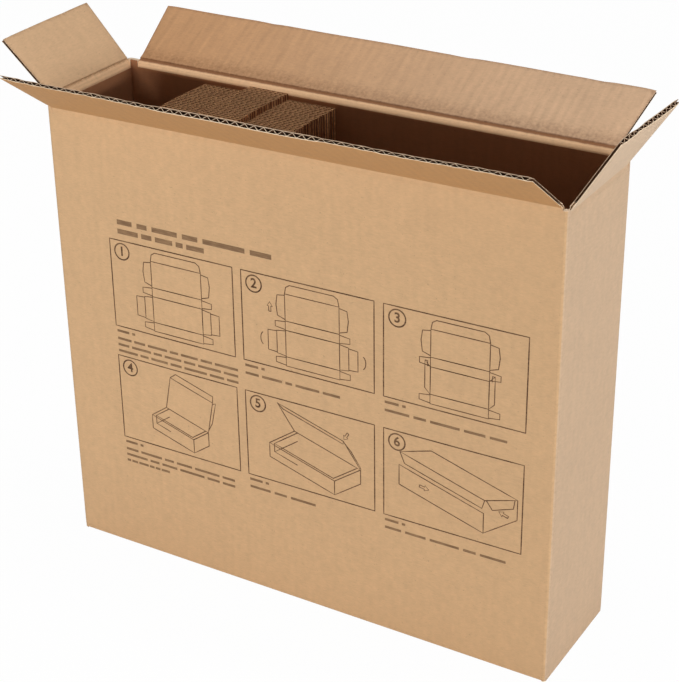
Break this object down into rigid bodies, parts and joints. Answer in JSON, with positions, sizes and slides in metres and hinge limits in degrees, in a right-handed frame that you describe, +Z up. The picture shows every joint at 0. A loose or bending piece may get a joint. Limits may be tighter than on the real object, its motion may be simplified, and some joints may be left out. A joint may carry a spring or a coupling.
{
  "type": "corrugated shipping carton",
  "caption": "Open corrugated shipping carton with four hinged top flaps, packed with a stack of flat mailer box blanks that stand on edge.",
  "frame": {"origin": "centre of the face that the carton stands on", "axes": "+X along the carton's length to the right, +Y from front to back, +Z up"},
  "size_m": [0.5211, 0.2143, 0.4464],
  "materials": {
    "carton_board": "matte brown kraft liner",
    "blank_board": "matte dark brown kraft liner"
  },
  "bodies": {
    "carton": {"carton_body": "carton_board", "blank_01": "blank_board", "blank_02": "blank_board", "blank_03": "blank_board", "blank_04": "blank_board", "blank_05": "blank_board", "blank_06": "blank_board", "blank_07": "blank_board", "blank_08": "blank_board", "blank_09": "blank_board", "blank_10": "blank_board", "blank_11": "blank_board", "blank_12": "blank_board", "blank_13": "blank_board", "blank_14": "blank_board", "blank_15": "blank_board", "blank_16": "blank_board", "blank_17": "blank_board", "blank_18": "blank_board", "blank_19": "blank_board", "blank_20": "blank_board", "blank_21": "blank_board", "blank_22": "blank_board", "blank_23": "blank_board", "blank_24": "blank_board", "blank_25": "blank_board", "blank_26": "blank_board", "blank_27": "blank_board", "blank_28": "blank_board", "blank_29": "blank_board", "blank_30": "blank_board"},
    "front_flap": {"front_flap": "carton_board"},
    "back_flap": {"back_flap": "carton_board"},
    "left_flap": {"left_flap": "carton_board"},
    "right_flap": {"right_flap": "carton_board"}
  },
  "joints": [
    {"name": "front_flap_hinge", "type": "hinge", "parent": "carton", "child": "front_flap", "pos_m": [0, -0.0531, 0.398], "axis": [1, 0, 0], "range_deg": [-145, 88]},
    {"name": "back_flap_hinge", "type": "hinge", "parent": "carton", "child": "back_flap", "pos_m": [0, 0.0531, 0.398], "axis": [-1, 0, 0], "range_deg": [-140, 84]},
    {"name": "left_flap_hinge", "type": "hinge", "parent": "carton", "child": "left_flap", "pos_m": [-0.2206, 0, 0.3939], "axis": [0, -1, 0], "range_deg": [-133, 102]},
    {"name": "right_flap_hinge", "type": "hinge", "parent": "carton", "child": "right_flap", "pos_m": [0.2206, 0, 0.3939], "axis": [0, 1, 0], "range_deg": [-124, 111]}
  ]
}
